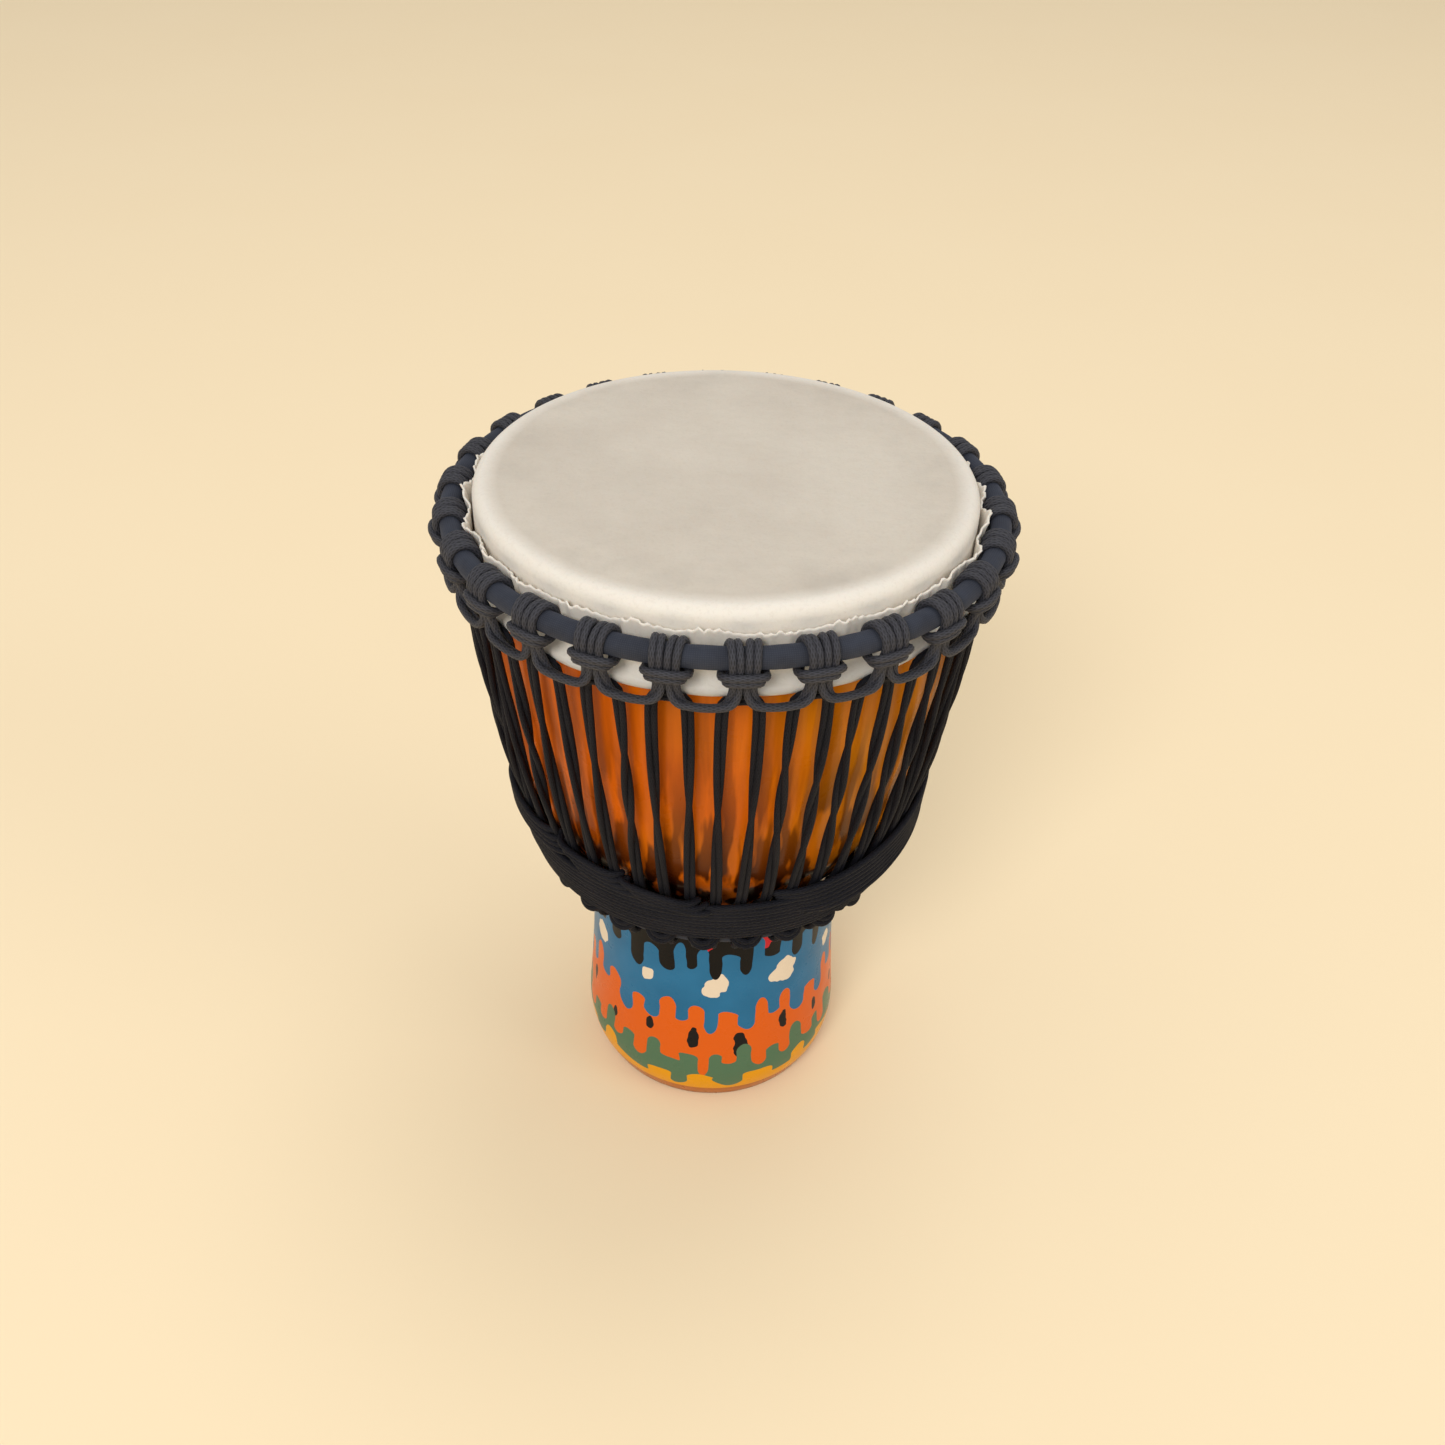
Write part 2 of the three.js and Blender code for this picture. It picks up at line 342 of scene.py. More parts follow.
def cloth_look():
    look = Look("ring_cloth", Roughness=0.85, Sheen_Weight=0.12, Sheen_Roughness=0.5)
    look.shader.inputs["Sheen Tint"].default_value = colour(120, 130, 160)
    uv = look.uv()
    warp = look.node("TexWave", {"wave_type": "BANDS", "bands_direction": "X"}, Scale=260.0)
    weft = look.node("TexWave", {"wave_type": "BANDS", "bands_direction": "Y"}, Scale=260.0)
    look.put(warp.inputs["Vector"], uv)
    look.put(weft.inputs["Vector"], uv)
    weave = look.times(warp.outputs["Fac"], weft.outputs["Fac"])
    rub = look.noise(look.object_coordinates(), 60.0, 4.0, 0.6)
    base = look.mix(look.ramp(rub, 0.35, 0.7), colour(27, 31, 43), colour(39, 44, 57))
    base = look.mix(look.times(weave, 0.3), base, colour(70, 74, 84))
    look.set(look.shader, Base_Color=base)
    creases = look.noise(look.object_coordinates(), 90.0, 2.0)
    look.bump(look.add(look.times(weave, 0.3), creases), 0.6 * MM, 0.5)
    return look.material


def rope_look(name, shine, dark, light):
    """Black braid. The UV runs once round the rope and, in metres, along it."""
    look = Look(name, Specular_IOR_Level=shine, Sheen_Weight=0.1 * shine, Sheen_Roughness=0.4)
    parts = look.node("SeparateXYZ")
    look.put(parts.inputs[0], look.uv())
    turn = look.times(parts.outputs["X"], 8 * TURN)
    run = look.times(parts.outputs["Y"], TURN / (5 * MM))
    right = look.maths("SINE", look.add(turn, run))
    left = look.maths("SINE", look.add(turn, look.times(run, -1.0)))
    plait = look.maths("MAXIMUM", right, left)
    hairs = look.noise(look.object_coordinates(), 900.0, 3.0, 0.7)
    dust = look.noise(look.object_coordinates(), 35.0, 3.0)
    # Painted light and shade: the braid's ridges are painted lighter and its grooves darker.
    base = look.mix(look.ramp(plait, -0.2, 1.0), dark, light)
    base = look.mix(look.ramp(hairs, 0.5, 0.8, 0.0, 0.35), base, colour(66, 64, 71))
    base = look.mix(look.ramp(dust, 0.4, 0.7, 0.0, 0.15), base, colour(48, 45, 48))
    look.set(look.shader, Base_Color=base, Roughness=look.ramp(hairs, 0.3, 0.8, 0.55, 0.8))
    look.bump(look.add(plait, hairs), 0.3 * MM, 0.5)
    return look.material


def steel_look():
    look = Look("ring_steel", Metallic=1.0, Roughness=0.36)
    place = look.object_coordinates()
    streaks = look.noise(look.scaled(place, (60.0, 60.0, 900.0)), 1.0, 4.0, 0.6)
    look.set(look.shader, Base_Color=look.mix(streaks, colour(126, 128, 132), colour(170, 172, 176)),
             Roughness=look.ramp(streaks, 0.2, 0.8, 0.28, 0.46))
    look.bump(streaks, 0.1 * MM, 0.4)
    return look.material


def floor_look():
    look = Look("floor_paper", Roughness=0.9)
    fleck = look.noise(look.object_coordinates(), 3.0, 2.0)
    look.set(look.shader, Base_Color=look.mix(fleck, colour(249, 227, 188), colour(250, 229, 191)))
    return look.material


# ---- Mesh helpers ----
def make_piece(name, points, faces, materials, uv=None, face_looks=None):
    mesh = bpy.data.meshes.new(name)
    mesh.from_pydata(np.asarray(points).tolist(), [], faces)
    for material in materials:
        mesh.materials.append(material)
    if uv is not None:
        layer = mesh.uv_layers.new(name="UVMap")
        layer.data.foreach_set("uv", np.asarray(uv, np.float32).ravel())
    if face_looks is not None:
        mesh.polygons.foreach_set("material_index", face_looks)
    mesh.polygons.foreach_set("use_smooth", [True] * len(mesh.polygons))
    mesh.update()
    piece = bpy.data.objects.new(name, mesh)
    bpy.context.scene.collection.objects.link(piece)
    return piece


def smooth_through(points, step):
    """Evenly spaced points on a centripetal Catmull-Rom curve through the given points."""
    points = np.asarray(points, float)
    ring = np.vstack([2 * points[0] - points[1], points, 2 * points[-1] - points[-2]])
    fine = []
    samples = np.linspace(0, 1, 12, endpoint=False)[:, None]
    for p0, p1, p2, p3 in zip(ring, ring[1:], ring[2:], ring[3:]):
        t1 = math.sqrt(np.linalg.norm(p1 - p0)) + 1e-9
        t2 = t1 + math.sqrt(np.linalg.norm(p2 - p1)) + 1e-9
        t3 = t2 + math.sqrt(np.linalg.norm(p3 - p2)) + 1e-9
        t = t1 + samples * (t2 - t1)
        a1 = (t1 - t) / t1 * p0 + t / t1 * p1
        a2 = (t2 - t) / (t2 - t1) * p1 + (t - t1) / (t2 - t1) * p2
        a3 = (t3 - t) / (t3 - t2) * p2 + (t - t2) / (t3 - t2) * p3
        b1 = (t2 - t) / t2 * a1 + t / t2 * a2
        b2 = (t3 - t) / (t3 - t1) * a2 + (t - t1) / (t3 - t1) * a3
        fine.append((t2 - t) / (t2 - t1) * b1 + (t - t1) / (t2 - t1) * b2)
    fine = np.vstack(fine + [ring[-2][None]])
    lengths = np.concatenate([[0], np.cumsum(np.linalg.norm(np.diff(fine, axis=0), axis=1))])
    count = max(2, round(lengths[-1] / step))
    even = np.linspace(0, lengths[-1], count + 1)
    return np.stack([np.interp(even, lengths, fine[:, i]) for i in range(fine.shape[1])], axis=1)


def directions(path):
    ahead = np.gradient(path, axis=0)
    return ahead / np.linalg.norm(ahead, axis=1)[:, None]


def carried_sides(along):
    """A unit vector square to the path at each point, carried along without twist."""
    side = np.cross(along[0], [0.0, 0.0, 1.0])
    if np.linalg.norm(side) < 0.1:
        side = np.cross(along[0], [1.0, 0.0, 0.0])
    sides = []
    for direction in along:
        side = side - direction * np.dot(side, direction)
        side = side / np.linalg.norm(side)
        sides.append(side)
    return np.array(sides)


ROPE_SIDES = 20
RIDGES = 10
RIDGE_DEPTH = 0.045
RIDGE_TURN = 0.06  # metres of rope in which the ridges go once round
TIP_TAPER = 0.55  # a rope's end narrows to this share of its section
TIP_LENGTH = 0.6  # and reaches this share of its radius past the path


def rope_sections(path, along, run, radius):
    """The points of each section along the path, with ridges that wind slowly round the rope."""
    sides = carried_sides(along)
    others = np.cross(along, sides)
    spokes = np.arange(ROPE_SIDES) * TURN / ROPE_SIDES
    swell = 1 + 0.03 * np.sin(run * 90 + rng.uniform(0, TURN)) * np.sin(run * 37)
    ridge = 1 + RIDGE_DEPTH * np.cos(RIDGES * spokes[None, :])
    reach = radius * swell[:, None] * ridge
    turn = spokes[None, :] + run[:, None] * TURN / RIDGE_TURN / RIDGES
    return (
        path[:, None, :]
        + (reach * np.cos(turn))[..., None] * sides[:, None, :]
        + (reach * np.sin(turn))[..., None] * others[:, None, :]
    )


def rope_tubes(name, paths, radius, material):
    """Ropes along the paths, with rounded ends."""
    points, faces, uv = [], [], []

    def close_end(place, section, outward, edge_from, facing_back, v):
        """A smaller section past the last one, and the flat tip inside it."""
        tip = len(points)
        points.extend(place + (section - place) * TIP_TAPER + outward * radius * TIP_LENGTH)
        edge = list(range(edge_from, edge_from + ROPE_SIDES))
        inner = list(range(tip, tip + ROPE_SIDES))
        for a in range(ROPE_SIDES):
            b = (a + 1) % ROPE_SIDES
            quad = [edge[a], inner[a], inner[b], edge[b]]
            faces.append(quad if facing_back else quad[::-1])
            uv.append(np.tile([a / ROPE_SIDES, v], (4, 1)))
        faces.append(inner[::-1] if facing_back else inner)
        uv.append(np.tile([0.0, v], (ROPE_SIDES, 1)))

    for path in paths:
        along = directions(path)
        run = np.concatenate([[0], np.cumsum(np.linalg.norm(np.diff(path, axis=0), axis=1))])
        sections = rope_sections(path, along, run, radius)
        first, last = len(points), len(path) - 1
        points.extend(sections.reshape(-1, 3))
        i, j = np.meshgrid(np.arange(last), np.arange(ROPE_SIDES), indexing="ij")
        k = (j + 1) % ROPE_SIDES
        quads = np.stack([i * ROPE_SIDES + j, i * ROPE_SIDES + k,
                          (i + 1) * ROPE_SIDES + k, (i + 1) * ROPE_SIDES + j], axis=-1) + first
        faces.extend(quads.reshape(-1, 4).tolist())
        u0, u1 = j / ROPE_SIDES, (j + 1) / ROPE_SIDES
        v0, v1 = run[i], run[i + 1]
        corner_uv = np.stack([u0, v0, u1, v0, u1, v1, u0, v1], axis=-1)
        uv.append(corner_uv.reshape(-1, 2))
        close_end(path[0], sections[0], -along[0], first, True, run[0])
        close_end(path[last], sections[last], along[last], first + last * ROPE_SIDES, False,
                  run[last])
    return make_piece(name, points, faces, [material], np.vstack(uv))


def turned_faces(rings, segments, close_rings):
    """Quads of a grid of rings round the axis; close_rings joins the last ring to the first."""
    i, j = np.meshgrid(np.arange(rings if close_rings else rings - 1), np.arange(segments),
                       indexing="ij")
    n, k = (i + 1) % rings, (j + 1) % segments
    quads = np.stack([i * segments + j, i * segments + k, n * segments + k, n * segments + j], -1)
    return quads.reshape(-1, 4)


def swept_round(radii, heights, angles):
    """Points for radii and heights, both [ring, angle] or [ring, 1], at the angles."""
    radii = np.broadcast_to(radii, (len(radii), len(angles)))
    heights = np.broadcast_to(heights, radii.shape)
    return np.stack([radii * np.cos(angles), radii * np.sin(angles), heights], axis=-1)


def finish_piece(piece, slot, *nodes):
    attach(piece, "root")
    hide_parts(*nodes)


# ---- Shell ----
def shell_outlines():
    """The CAD shell's outside and inside as (height, radius) rows from the foot up."""
    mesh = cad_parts["shell"].data
    outside, inside = {}, {}
    for vertex in mesh.vertices:
        x, y, z = vertex.co
        radius = math.hypot(x, y)
        facing = (vertex.normal.x * x + vertex.normal.y * y) / radius
        side = outside if facing > 0 else inside
        side.setdefault(round(z, 4), []).append((radius, z))
    return [
        np.array([np.mean(side[z], axis=0)[::-1] for z in sorted(side)])
        for side in (outside, inside)
    ]


def build_shell(lacquer, wood):
    outside, inside = shell_outlines()
    step = 3 * MM
    segments = 260
    out = smooth_through(outside, step)
    back = smooth_through(inside, 2 * step)[::-1]  # from the mouth down to the foot
    outline = np.vstack([out, back])
    angles = np.arange(segments) * TURN / segments
    points = swept_round(outline[:, 1:], outline[:, :1], angles)
    faces = turned_faces(len(outline), segments, True)
    looks = (np.arange(len(faces)) // segments >= len(out)).astype(int)
    piece = make_piece("goblet_shell", points.reshape(-1, 3), faces.tolist(), [lacquer, wood],
                       face_looks=looks)
    finish_piece(piece, "shell_lacquer", "shell")


# ---- Head ----
HOOP_FOLD = 4.2 * MM
SKIN_CORNER = 8.5 * MM
SKIN_PER_KNOT = 24
PLEAT_WAVES = 3
PLEAT_GAP = 1.2 * MM  # the pleats lie this far outside the head
PLEAT_START = 5.5 * MM  # and begin this far above the hoop
PLEAT_STEPS = [0.0, 0.2, 0.42, 0.6, 0.75, 0.87, 0.95, 1.0]  # shares of the way up, closing in
EDGE_RISE = 7.4  # millimetres from the crown ring's centre up to the trimmed edge at a hitch


def arc_points(centre, radius, start, end, count):
    turn = np.linspace(start, end, count)
    return centre[0] + radius * np.cos(turn), centre[1] + radius * np.sin(turn)


def skin_rings(angles, face, side):
    """Radii and heights, [ring, angle], of the skin's middle surface from the face's centre to
    the trimmed edge. The face lies at the height face and the skin hangs at the radius side."""
    from_knot = (angles - math.pi / 2 - PITCH / 2) / PITCH
    slack = 0.5 - 0.5 * np.cos(from_knot * TURN)  # 0 at a hitch, 1 midway between two
    knot_of = np.floor(from_knot + 0.5).astype(int) % KNOTS
    gap_of = np.floor(from_knot).astype(int) % KNOTS
    high = np.array([rng.uniform(-1, 1) for _ in range(KNOTS)])
    fold_phase = np.array([rng.uniform(0, TURN) for _ in range(KNOTS)])
    lean = np.array([rng.uniform(0.5, 1.3) for _ in range(KNOTS)])
    corner = (side - SKIN_CORNER, face - SKIN_CORNER)
    hoop = (side + HOOP_FOLD, HOOP_HEIGHT)
    radii, heights = [], []

    def ring(radius, height):
        radii.append(np.broadcast_to(radius, angles.shape))
        heights.append(np.broadcast_to(height, angles.shape))

    for radius in np.linspace(8 * MM, corner[0] - 2 * MM, 14):
        ring(radius, face)
    for radius, height in zip(*arc_points(corner, SKIN_CORNER, math.pi / 2, 0, 12)):
        ring(radius, height)
    for height in np.linspace(corner[1] - 5 * MM, hoop[1] + 4 * MM, 4):
        ring(side, height)
    # Under the flesh hoop the skin bulges a little between the hitches.
    for turn in np.linspace(-math.pi, math.pi / 6, 12):
        reach = HOOP_FOLD + 0.5 * MM * slack * max(0.0, math.cos(turn / 2 + 0.3))
        ring(hoop[0] + reach * math.cos(turn), hoop[1] + reach * math.sin(turn))
    # Behind the crown ring it is pleated, and its trimmed edge curls out between the hitches.
    fold = np.sin(PLEAT_WAVES * from_knot * TURN + fold_phase[gap_of] * slack)
    fine_fold = np.sin(7 * from_knot * TURN + 3 * fold_phase[knot_of])
    ragged = 2.8 * high[gap_of] * slack + 0.9 * fine_fold * (0.4 + slack)
    top = CROWN_HEIGHT + (EDGE_RISE + 2.2 * slack + ragged) * MM
    base = hoop[1] + PLEAT_START
    for share in PLEAT_STEPS:
        out = 0.9 * slack + 2.6 * slack * lean[gap_of] * share ** 5
        crimp = (1.2 * (1 + fold) + 0.4 * (1 + fine_fold)) * share * (0.3 + 0.7 * slack)
        ring(HEAD_RADIUS + PLEAT_GAP + (out + crimp) * MM, base + (top - base) * share)
    return np.array(radii), np.array(heights)


def build_skin(material):
    angles = np.arange(KNOTS * SKIN_PER_KNOT) * TURN / (KNOTS * SKIN_PER_KNOT)
    middle = SKIN_THICKNESS / 2
    face = HEIGHT - middle
    radii, heights = skin_rings(angles, face, HEAD_RADIUS - middle)
    ahead_r = np.gradient(radii, axis=0)
    ahead_h = np.gradient(heights, axis=0)
    size = np.hypot(ahead_r, ahead_h)
    normal_r, normal_h = -ahead_h / size, ahead_r / size
    upper = swept_round(radii + normal_r * middle, heights + normal_h * middle, angles)
    lower = swept_round(radii - normal_r * middle, heights - normal_h * middle, angles)
    points = np.vstack([upper.reshape(-1, 3), lower[::-1].reshape(-1, 3)])
    rings, segments = radii.shape
    faces = turned_faces(2 * rings, segments, False)[:, ::-1].tolist()
    centre_top, centre_bottom = len(points), len(points) + 1
    points = np.vstack([points, [[0, 0, face + middle], [0, 0, face - middle]]])
    last = (2 * rings - 1) * segments
    for j in range(segments):
        k = (j + 1) % segments
        faces.append([centre_top, j, k])
        faces.append([centre_bottom, last + k, last + j])
    piece = make_piece("head_skin", points, faces, [material])
    finish_piece(piece, "goat_skin", "skin")


# ---- Ring sets ----
def build_ring(name, ring_radius, height, section, material, slot, node, slit=0.0, crease=0.0):
    """A round bar or, with a slit, a sleeve that is open on the drum's side."""
    segments, steps = 312, 20
    angles = np.arange(segments) * TURN / segments
    turns = np.linspace(-math.pi + slit, math.pi - slit, steps, endpoint=slit > 0)
    outer_r = ring_radius + section * np.cos(turns)[:, None] * (1 + crease * np.sin(78 * angles))
    outer_h = height + section * np.sin(turns)[:, None] * (1 + crease * np.sin(52 * angles + 1))
    radii, heights = outer_r, outer_h
    if slit:
        wall = section - SLEEVE_WALL
        inner_r = np.broadcast_to(ring_radius + wall * np.cos(turns[::-1])[:, None], outer_r.shape)
        inner_h = np.broadcast_to(height + wall * np.sin(turns[::-1])[:, None], outer_h.shape)
        radii, heights = np.vstack([outer_r, inner_r]), np.vstack([outer_h, inner_h])
    points = swept_round(radii, heights, angles).reshape(-1, 3)
    rings = len(radii)
    faces = turned_faces(rings, segments, True)
    i, j = np.divmod(np.arange(len(faces)), segments)
    around_m = TURN * ring_radius / segments
    across_m = TURN * section / steps
    corner = np.array([[0, 0], [1, 0], [1, 1], [0, 1]])
    uv = np.stack([(j[:, None] + corner[:, 0]) * around_m, (i[:, None] + corner[:, 1]) * across_m], -1)
    piece = make_piece(name, points, faces.tolist(), [material], uv.reshape(-1, 2))
    finish_piece(piece, slot, node)


# ---- Ropes: routes as [along the ring, out from its centre, up] in millimetres ----
TOP_HITCH = [
    [(-13, 5.4, -30), (-8.6, 5.2, -29.4), (-4.6, 4.4, -26.8), (-2.5, 3, -21.8), (-2.1, 3.4, -15),
     (-2.2, 6, -9.4), (-2.3, 8.4, -2.6), (-2.4, 7.8, 4.1), (-2.8, 2.9, 8.3), (-3.3, -3.5, 8.1),
     (-4, -8.4, 2.9), (-5, -8.7, -3), (-7.2, -5.8, -8.6), (-9.8, 1, -12.4), (-9.4, 7, -11.6),
     (-5.6, 9.8, -10), (0, 10.5, -9.7)],
    [(-13, 1.2, -32.6), (-9.8, 1.2, -31), (-7.2, 1.6, -26.2), (-5.8, 2.6, -20), (-5.8, 5.8, -9.2),
     (-6.3, 8.4, -2.4), (-6.7, 7.8, 4.2), (-7.1, 2.9, 8.4), (-7.6, -3.5, 8.1), (-8.3, -8.4, 2.9),
     (-9.2, -8.6, -3), (-11, -5.2, -8), (-12.6, 2, -9.8), (-11.8, 7.8, -7.4), (-7, 11, -5.8),
     (0, 11.7, -5.4)],
]
TOP_LOOP = [(5.6, -30.4), (1.2, -33.2)]
BOTTOM_HITCH = [
    [(-10.5, 14.6, 31), (-6.5, 13.4, 29.5), (-2.8, 10.6, 24.5), (-2.2, 8.4, 18),
     (-2.2, 8.8, 10), (-2.2, 8.9, 2), (-2.3, 7, -5), (-2.6, 1.8, -8.6), (-3.2, -4.6, -7.2),
     (-4.2, -8.4, -1.6), (-5.4, -8.2, 3.4), (-7.6, -5, 8), (-9.2, 1.5, 9.6), (-8.6, 8.5, 9),
     (-5, 12.8, 6), (0, 13.6, 4.4)],
    [(-10.5, 10.2, 29.5), (-8.4, 9.4, 27), (-6.4, 8.2, 22.5), (-6, 7.4, 17), (-6.2, 8.4, 9.5),
     (-6.4, 8.9, 2), (-6.7, 7, -5), (-7.1, 1.8, -8.6), (-7.6, -4.6, -7.2), (-8.4, -8.2, -1.6),
     (-9.4, -7.8, 3.2), (-10.8, -4.4, 7), (-11, 2.6, 7.4), (-9.4, 9.4, 5), (-5.4, 12.6, 1.4),
     (0, 13.2, -0.4)],
]
BOTTOM_LOOP = [(15, 31.4), (10.4, 30)]
TOP_TURN = [(-10.4, -5.2, -40), (-9.4, -5, -34.4), (-5.8, -4.2, -31.4), (0, -3.8, -30.6)]
BOTTOM_TURN = [(-7.4, 5, 30), (-8.8, 6, 24.4), (-7.4, 11.6, 19), (0, 14.2, 19)]
LEG_BEND = (138.4 * MM, 262 * MM)


def top_knot(knot):
    return math.pi / 2 + (knot + 0.5) * PITCH


def bottom_knot(knot):
    return math.pi / 2 + (knot + 1) * PITCH


def beside_ring(radius, height, angle, place):
    along, out, up = (value * MM for value in place)
    reach = radius + out
    turn = angle + along / reach
    return (reach * math.cos(turn), reach * math.sin(turn), height + up)


def mirrored(half):
    return [(-along, out, up) for along, out, up in half[-2::-1]]


def cradle_strand(radius, height, knot_angle, half, loop):
    """One strand of a doubled cradle rope, hitched to its ring at every knot."""
    end_gap = 0.6
    points = [beside_ring(radius, height, knot_angle(0) - PITCH / 2, (end_gap, *loop))]
    for knot in range(KNOTS):
        jitter = rng.uniform(-0.5, 0.5)
        for along, out, up in half + mirrored(half):
            place = (along + jitter, out, up + 0.4 * jitter)
            points.append(beside_ring(radius, height, knot_angle(knot), place))
        ending = -end_gap if knot == KNOTS - 1 else 0
        points.append(beside_ring(radius, height, knot_angle(knot) + PITCH / 2, (ending, *loop)))
    return smooth_through(points, 2 * MM)


def build_cradle(name, radius, height, knot_angle, hitch, loops, material, node):
    strands = [
        cradle_strand(radius, height, knot_angle, half, loop)
        for half, loop in zip(hitch, loops)
    ]
    piece = rope_tubes(name, strands, ROPE_RADIUS, material)
    finish_piece(piece, "rope", node)


def build_tension_rope(material):
    """Two strands that run together, up and down between the rings, and twist on the way."""
    points = []

    def bend(angle):
        return (LEG_BEND[0] * math.cos(angle), LEG_BEND[0] * math.sin(angle), LEG_BEND[1])

    top_turn = TOP_TURN + mirrored(TOP_TURN)
    bottom_turn = BOTTOM_TURN + mirrored(BOTTOM_TURN)
    for knot in range(KNOTS):
        angle = top_knot(knot)
        points.append(bend(angle - PITCH / 4))
        points.extend(beside_ring(CROWN_RADIUS, CROWN_HEIGHT, angle, p) for p in top_turn)
        points.append(bend(angle + PITCH / 4))
        if knot < KNOTS - 1:
            low = bottom_knot(knot)
            points.extend(beside_ring(BOTTOM_RADIUS, BOTTOM_HEIGHT, low, p) for p in bottom_turn)
    path = smooth_through(points, 3.5 * MM)
    along = directions(path)
    outward = path * (1, 1, 0)
    outward = outward / np.linalg.norm(outward, axis=1)[:, None]
    across = np.cross(along, outward)
    across = across / np.linalg.norm(across, axis=1)[:, None]
    normal = np.cross(across, along)

    # The pair lies side by side at its turns and makes half or whole turns on each leg.
    twist_low, twist_high = LEG_BEND[1] + 6 * MM, CROWN_HEIGHT - 40 * MM
    heights = path[:, 2]
    share = np.clip((heights - twist_low) / (twist_high - twist_low), 0, 1)
    share = share * share * (3 - 2 * share)
    twist = np.zeros(len(path))
    total, leg_turns = 0.0, 0.0
    for i in range(1, len(path)):
        if share[i - 1] in (0.0, 1.0) and 0 < share[i] < 1:
            leg_turns = rng.choice((-2, -1, 1, 2)) * math.pi
        total += leg_turns * abs(share[i] - share[i - 1])
        twist[i] = total
    offset = STRAND_SPACING * (np.cos(twist)[:, None] * across + np.sin(twist)[:, None] * normal)
    piece = rope_tubes("doubled_tension_rope", [path + offset, path - offset], LEG_ROPE_RADIUS,
                       material)
    finish_piece(piece, "rope", "tension_rope")


WRAP_TURNS = 10
WRAP_BOTTOM_RADIUS = 132.9 * MM
WRAP_TOP_RADIUS = 142.6 * MM
RUN_CLEARANCE = 2.2 * MM  # a run lies this far outside the winding's top turn
RUN_SPACING = 4.0  # millimetres from strand to strand
RUN_TUCK = 7 * MM  # how far a run's ends dive in behind the legs
LEG_SLOPE = 0.09  # how far a run moves out for each unit that it rises
# Strands laid over the legs above the winding: start and end angle, the height in millimetres of
# the topmost above the winding at each end, and how many lie one below the other.
SURPLUS_RUNS = [
    (-3.0, -2.33, 17, 21, 4), (-2.32, -1.95, 19, 14, 4), (-1.97, -1.58, 12, 3, 3),
    (-1.25, 0.34, 6, 32, 7),
]


def build_wrap(material):
    """The surplus rope, wound round the legs, with its end laid over them and tucked under."""
    low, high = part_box("wrap_rope")
    start = (WRAP_BOTTOM_RADIUS, low.z + WRAP_ROPE_RADIUS)
    end = (WRAP_TOP_RADIUS, high.z - WRAP_ROPE_RADIUS)
    steps_per_turn = 180
    count = WRAP_TURNS * steps_per_turn
    turn = np.arange(count + 1) / steps_per_turn
    share = turn / WRAP_TURNS
    angle = math.pi / 2 + turn * TURN
    # Each turn follows the cone, sagging between the legs and wandering a little.
    wander = 0.35 * MM * np.sin(5 * angle + 2 * turn) + 0.3 * MM * np.sin(11 * angle - 3 * turn)
    bulge = 1.2 * MM * np.sin(math.pi * share)
    radius = start[0] + (end[0] - start[0]) * share + bulge + 0.5 * wander
    height = start[1] + (end[1] - start[1]) * share + wander
    coil = np.stack([radius * np.cos(angle), radius * np.sin(angle), height], axis=1)
    paths = [coil]
    outer = end[0] + RUN_CLEARANCE + WRAP_ROPE_RADIUS
    for from_angle, to_angle, from_rise, to_rise, strands in SURPLUS_RUNS:
        for strand in range(strands):
            run = []
            shift = 0.03 * strand + rng.uniform(-0.015, 0.015)
            for step in np.linspace(0, 1, 15):
                turn = from_angle + shift + (to_angle - from_angle) * step
                rise = (from_rise + (to_rise - from_rise) * step - RUN_SPACING * strand) * MM
                dive = RUN_TUCK * abs(2 * step - 1) ** 7
                reach = outer + LEG_SLOPE * max(rise, 0.0) - dive
                run.append((reach * math.cos(turn), reach * math.sin(turn), end[1] + rise))
            paths.append(smooth_through(run, 3 * MM))
    piece = rope_tubes("wound_surplus_rope", paths, WRAP_ROPE_RADIUS, material)
    finish_piece(piece, "rope", "wrap_rope")


# ---- Studio ----
def build_floor(material):
    half = 6.0
    cells = 8
    line = np.linspace(-half, half, cells + 1)
    x, y = np.meshgrid(line, line)
    points = np.stack([x.ravel(), y.ravel(), np.full(x.size, -0.0005)], axis=1)
    i, j = np.meshgrid(np.arange(cells), np.arange(cells), indexing="ij")
    first = i * (cells + 1) + j
    faces = np.stack([first, first + 1, first + cells + 2, first + cells + 1], -1).reshape(-1, 4)
    floor = make_piece("studio_floor", points, faces.tolist(), [material])


def build_light(name, place, target, size, power):
    data = bpy.data.lights.new(name, "AREA")
    data.shape = "DISK"
    data.size = size
    data.energy = power
    light = bpy.data.objects.new(name, data)
    bpy.context.scene.collection.objects.link(light)
    light.location = place
    aim = np.array(target) - np.array(place)
    yaw = math.atan2(aim[1], aim[0]) - math.pi / 2
    pitch = math.atan2(-aim[2], math.hypot(aim[0], aim[1]))
    light.rotation_euler = (math.pi / 2 - pitch, 0, yaw)


def build_studio():
    world = bpy.data.worlds.new("studio")
    world.use_nodes = True
    background = world.node_tree.nodes["Background"]
    background.inputs["Color"].default_value = (1.0, 0.985, 0.96, 1.0)
    background.inputs["Strength"].default_value = 0.62
    bpy.context.scene.world = world
    middle = (0, 0, 0.3)
    build_light("key", (-1.4, -4.6, 4.0), middle, 2.4, 165)
    build_light("top", (0.8, 1.8, 6.5), middle, 3.4, 64)
    build_light("fill", (5.0, -2.0, 3.2), middle, 2.4, 40)
    bpy.context.scene.view_settings.view_transform = "Standard"
    bpy.context.scene.view_settings.look = "None"


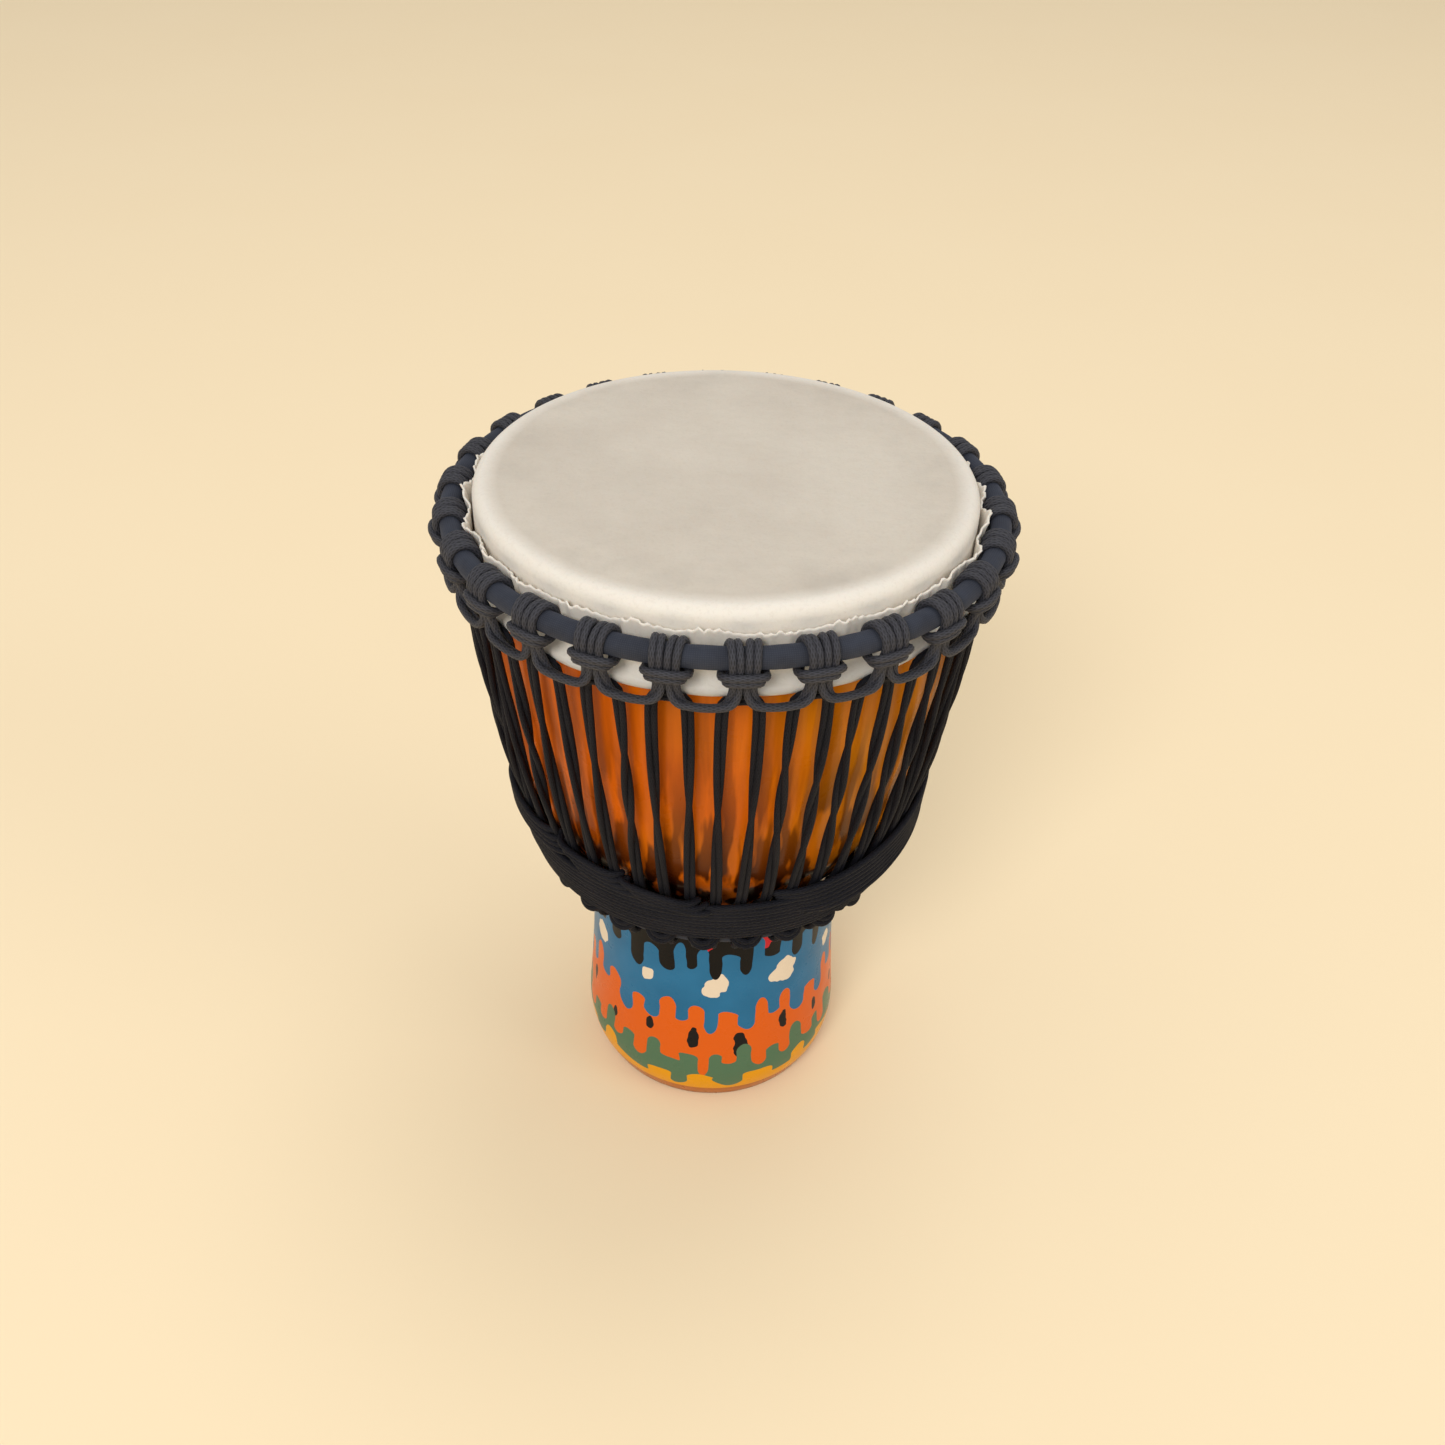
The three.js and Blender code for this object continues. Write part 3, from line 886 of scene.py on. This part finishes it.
def build_camera():
    """From above the head in front, a little to one side, looking down on the drum."""
    around_drum = 0.0492
    distance, height = 0.8116, 0.9263
    pitch, yaw, roll = math.radians(37.61), math.radians(0.17), math.radians(1.90)
    data = bpy.data.cameras.new("camera")
    data.sensor_width = 36
    data.lens = 35.88
    camera = bpy.data.objects.new("camera", data)
    bpy.context.scene.collection.objects.link(camera)
    camera.matrix_world = (
        Matrix.Rotation(around_drum, 4, "Z")
        @ Matrix.Translation((0, -distance, height))
        @ Matrix.Rotation(-yaw, 4, "Z")
        @ Matrix.Rotation(math.pi / 2 - pitch, 4, "X")
        @ Matrix.Rotation(roll, 4, "Z")
    )
    bpy.context.scene.camera = camera


# ---- The drum ----
# One black rope in two copies: the top cradle's is painted lighter as painted light, and the copy for
# the bottom cradle, the legs and the winding is painted darker as painted shade.
rope_painted_lit = rope_look("rope_painted_lit", 0.45, colour(22, 23, 29), colour(54, 54, 62))
rope_painted_shaded = rope_look("rope_painted_shaded", 0.15, colour(4, 5, 9), colour(18, 19, 28))
cloth = cloth_look()
steel = steel_look()

build_camera()
build_studio()
build_floor(floor_look())
build_shell(lacquer_look(), bare_wood_look())
build_skin(skin_look())
build_ring("flesh_hoop_bar", HOOP_RADIUS, HOOP_HEIGHT, HOOP_BAR, steel, "ring_steel", "flesh_hoop")
build_ring("crown_ring_bar", CROWN_RADIUS, CROWN_HEIGHT, CROWN_BAR, steel, "ring_steel",
           "crown_ring_core")
build_ring("crown_ring_cloth", CROWN_RADIUS, CROWN_HEIGHT, CROWN_SLEEVE, cloth, "ring_cloth",
           "crown_ring_sleeve", slit=SLEEVE_SLIT, crease=SLEEVE_CREASE)
build_ring("bottom_ring_bar", BOTTOM_RADIUS, BOTTOM_HEIGHT, BOTTOM_BAR, steel, "ring_steel",
           "bottom_ring_core")
build_ring("bottom_ring_cloth", BOTTOM_RADIUS, BOTTOM_HEIGHT, BOTTOM_SLEEVE, cloth, "ring_cloth",
           "bottom_ring_sleeve", slit=SLEEVE_SLIT, crease=SLEEVE_CREASE)
build_cradle("doubled_top_cradle_rope", CROWN_RADIUS, CROWN_HEIGHT, top_knot, TOP_HITCH, TOP_LOOP,
             rope_painted_lit, "top_cradle_rope")
build_cradle("doubled_bottom_cradle_rope", BOTTOM_RADIUS, BOTTOM_HEIGHT, bottom_knot, BOTTOM_HITCH,
             BOTTOM_LOOP, rope_painted_shaded, "bottom_cradle_rope")
build_tension_rope(rope_painted_shaded)
build_wrap(rope_painted_shaded)
